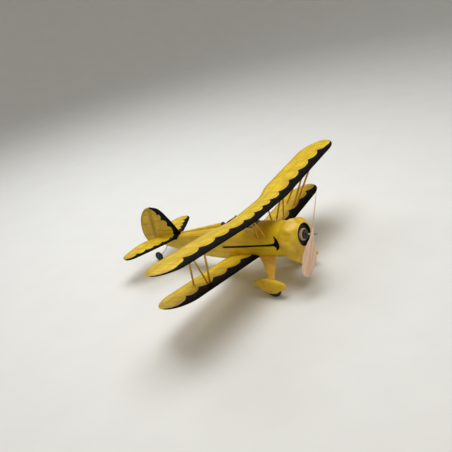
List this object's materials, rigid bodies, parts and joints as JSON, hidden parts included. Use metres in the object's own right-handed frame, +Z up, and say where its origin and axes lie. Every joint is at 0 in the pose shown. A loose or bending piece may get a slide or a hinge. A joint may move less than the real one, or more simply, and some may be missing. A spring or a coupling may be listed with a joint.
{
  "type": "flying scale model biplane",
  "caption": "Flying scale model of a two-seat open-cockpit biplane: braced wings, round bumped cowl, two-blade propeller, spatted wheels, tail wheel.",
  "frame": {"origin": "on the floor, under the middle of the parked model's box", "axes": "+X towards the propeller, +Y towards the left wing tip, +Z up"},
  "size_m": [0.4846, 0.6064, 0.1896],
  "materials": {
    "yellow_tissue": "doped tissue, satin",
    "yellow_plastic": "gloss",
    "yellow_wood": "painted, satin",
    "bare_wood": "sanded and lightly sealed",
    "brown_leather": "matte",
    "clear_sheet": "clear",
    "black_plastic": "matte black",
    "black_rubber": "matte",
    "steel_wire": "drawn wire",
    "brass_tube": "drawn tube"
  },
  "bodies": {
    "airframe": {"fuselage": "yellow_tissue", "headrest_fairing": "yellow_tissue", "headrest": "brown_leather", "windscreen_front": "clear_sheet", "windscreen_rear": "clear_sheet", "cowl": "yellow_plastic", "engine_plate": "black_plastic", "nose_block": "bare_wood", "nose_button": "black_plastic", "thrust_tube": "brass_tube", "upper_wing": "yellow_tissue", "lower_wing_left": "yellow_tissue", "lower_wing_right": "yellow_tissue", "interplane_strut_front_left": "yellow_wood", "interplane_strut_rear_left": "yellow_wood", "interplane_strut_diagonal_left": "yellow_wood", "interplane_strut_front_right": "yellow_wood", "interplane_strut_rear_right": "yellow_wood", "interplane_strut_diagonal_right": "yellow_wood", "cabane_strut_front_left": "yellow_wood", "cabane_strut_rear_left": "yellow_wood", "cabane_strut_diagonal_left": "yellow_wood", "cabane_strut_front_right": "yellow_wood", "cabane_strut_rear_right": "yellow_wood", "cabane_strut_diagonal_right": "yellow_wood", "tailplane_left": "yellow_tissue", "tailplane_right": "yellow_tissue", "fin": "yellow_tissue", "rudder": "yellow_tissue", "gear_leg_left": "yellow_wood", "gear_leg_right": "yellow_wood", "spat_left": "yellow_plastic", "spat_right": "yellow_plastic", "axle_left": "steel_wire", "axle_right": "steel_wire", "tail_wheel_wire": "steel_wire"},
    "airscrew": {"propeller": "bare_wood", "prop_shaft": "steel_wire"},
    "left_main_wheel": {"wheel_left": "black_rubber"},
    "right_main_wheel": {"wheel_right": "black_rubber"},
    "rear_wheel": {"tail_wheel": "black_rubber"}
  },
  "joints": [
    {"name": "propeller_spin", "type": "hinge", "parent": "airframe", "child": "airscrew", "pos_m": [0.22946, 0, 0.11199], "axis": [0.9939, 0, 0.1103], "continuous": true},
    {"name": "left_wheel_spin", "type": "hinge", "parent": "airframe", "child": "left_main_wheel", "pos_m": [0.1576, 0.065, 0.01748], "axis": [0, 1, 0], "continuous": true},
    {"name": "right_wheel_spin", "type": "hinge", "parent": "airframe", "child": "right_main_wheel", "pos_m": [0.1576, -0.065, 0.01748], "axis": [0, 1, 0], "continuous": true},
    {"name": "tail_wheel_spin", "type": "hinge", "parent": "airframe", "child": "rear_wheel", "pos_m": [-0.2136, 0, 0.01098], "axis": [0, 1, 0], "continuous": true}
  ]
}
